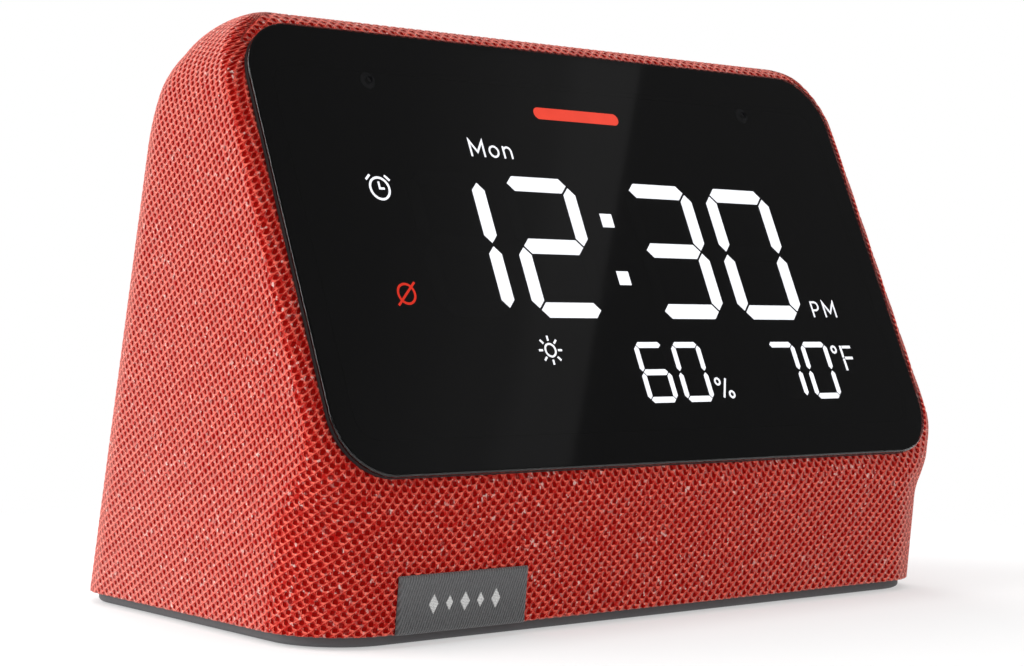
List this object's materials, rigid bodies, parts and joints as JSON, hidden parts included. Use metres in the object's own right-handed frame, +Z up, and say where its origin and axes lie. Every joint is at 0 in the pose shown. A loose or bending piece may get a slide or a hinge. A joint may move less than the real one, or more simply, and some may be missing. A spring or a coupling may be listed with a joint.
{
  "type": "smart display",
  "caption": "Bedside smart display: fabric-covered wedge with a sloping smoked window over a segment clock display, top buttons, rear speaker, power and mute panel.",
  "frame": {"origin": "on the ground under the centre of the outer box", "axes": "+X to the viewer's right along the width, -Y towards the viewer (the window side), +Z up"},
  "size_m": [0.121, 0.0642, 0.083],
  "materials": {
    "knit_red": "knitted mesh fabric, melange clay red",
    "tag_grey": "woven twill tape",
    "housing_plastic": "moulded, fine spark texture",
    "base_rubber": "soft-touch silicone",
    "dark_plastic": "moulded",
    "button_plastic": "fine satin moulding",
    "smoked_window": "smoked acrylic, polished",
    "mask_black": "printed black film",
    "reflector_white": "moulded light wells",
    "segment_on": "lit diffuser film",
    "segment_off": "unlit diffuser film behind smoked film",
    "segment_red": "lit red diffuser",
    "light_bar_orange": "lit orange diffuser",
    "circuit_board": "solder mask",
    "chip_black": "moulded package",
    "led_white": "LED package",
    "small_parts": "mixed small parts",
    "flex": "polyimide flat cable",
    "thermal_grey": "thermal pad",
    "aluminium_plate": "stamped sheet",
    "tinned_steel": "tinned sheet",
    "basket_steel": "black pressed steel",
    "magnet_dark": "sintered ferrite",
    "screw_steel": "zinc plated",
    "cone_paper": "pressed paper",
    "spider_cloth": "phenolic cloth",
    "coil_copper": "enamelled copper winding",
    "contact_gold": "gold plated",
    "wire_insulation": "PVC insulation"
  },
  "bodies": {
    "casing": {"base_foot": "base_rubber", "base_plate": "dark_plastic", "base_screws": "screw_steel", "board_components": "small_parts", "board_screws": "screw_steel", "button_board": "circuit_board", "button_cable": "flex", "button_screws": "screw_steel", "button_switches": "dark_plastic", "digit_segments_lit": "segment_on", "digit_segments_unlit": "segment_off", "display_bezel": "dark_plastic", "display_board": "circuit_board", "display_cable": "flex", "display_leds": "led_white", "display_mask": "mask_black", "display_reflector": "reflector_white", "display_screws": "screw_steel", "display_window": "smoked_window", "dock_contact_block": "dark_plastic", "dock_contacts": "contact_gold", "fabric_cover": "knit_red", "heat_spreader": "aluminium_plate", "label_tag": "tag_grey", "light_sensor": "chip_black", "main_board": "circuit_board", "main_housing": "housing_plastic", "microphone_gaskets": "base_rubber", "microphones": "tinned_steel", "mute_switch": "dark_plastic", "power_socket": "dark_plastic", "power_socket_pin": "contact_gold", "processor": "chip_black", "rear_panel": "dark_plastic", "shield_can": "tinned_steel", "speaker_enclosure": "dark_plastic", "speaker_frame": "basket_steel", "speaker_gasket": "dark_plastic", "speaker_magnet": "magnet_dark", "speaker_screws": "screw_steel", "speaker_spider": "spider_cloth", "speaker_surround": "base_rubber", "speaker_terminals": "small_parts", "speaker_top_plate": "tinned_steel", "speaker_wires": "wire_insulation", "speaker_yoke": "tinned_steel", "status_light_bar": "light_bar_orange", "symbol_muted": "segment_red", "symbols_white": "segment_on", "thermal_pad": "thermal_grey", "window_adhesive": "mask_black", "wireless_antennas": "flex"},
    "button_volume_down": {"button_volume_down": "button_plastic"},
    "button_action": {"button_action": "button_plastic"},
    "button_alarm": {"button_alarm": "button_plastic"},
    "button_volume_up": {"button_volume_up": "button_plastic"},
    "mute_slider": {"mute_slider": "button_plastic"},
    "speaker_diaphragm": {"speaker_cone": "cone_paper", "speaker_dust_cap": "cone_paper", "voice_coil": "coil_copper"}
  },
  "joints": [
    {"name": "button_volume_down_press", "type": "slide", "parent": "casing", "child": "button_volume_down", "axis": [0, -0.4067, -0.9135], "range_m": [0, 0.0004]},
    {"name": "button_action_press", "type": "slide", "parent": "casing", "child": "button_action", "axis": [0, -0.4067, -0.9135], "range_m": [0, 0.0004]},
    {"name": "button_alarm_press", "type": "slide", "parent": "casing", "child": "button_alarm", "axis": [0, -0.4067, -0.9135], "range_m": [0, 0.0004]},
    {"name": "button_volume_up_press", "type": "slide", "parent": "casing", "child": "button_volume_up", "axis": [0, -0.4067, -0.9135], "range_m": [0, 0.0004]},
    {"name": "mute_slide", "type": "slide", "parent": "casing", "child": "mute_slider", "axis": [1, 0, 0], "range_m": [0, 0.003]},
    {"name": "diaphragm_travel", "type": "slide", "parent": "casing", "child": "speaker_diaphragm", "axis": [0, 0.9657, 0.2597], "range_m": [-0.0008, 0.0008]}
  ]
}
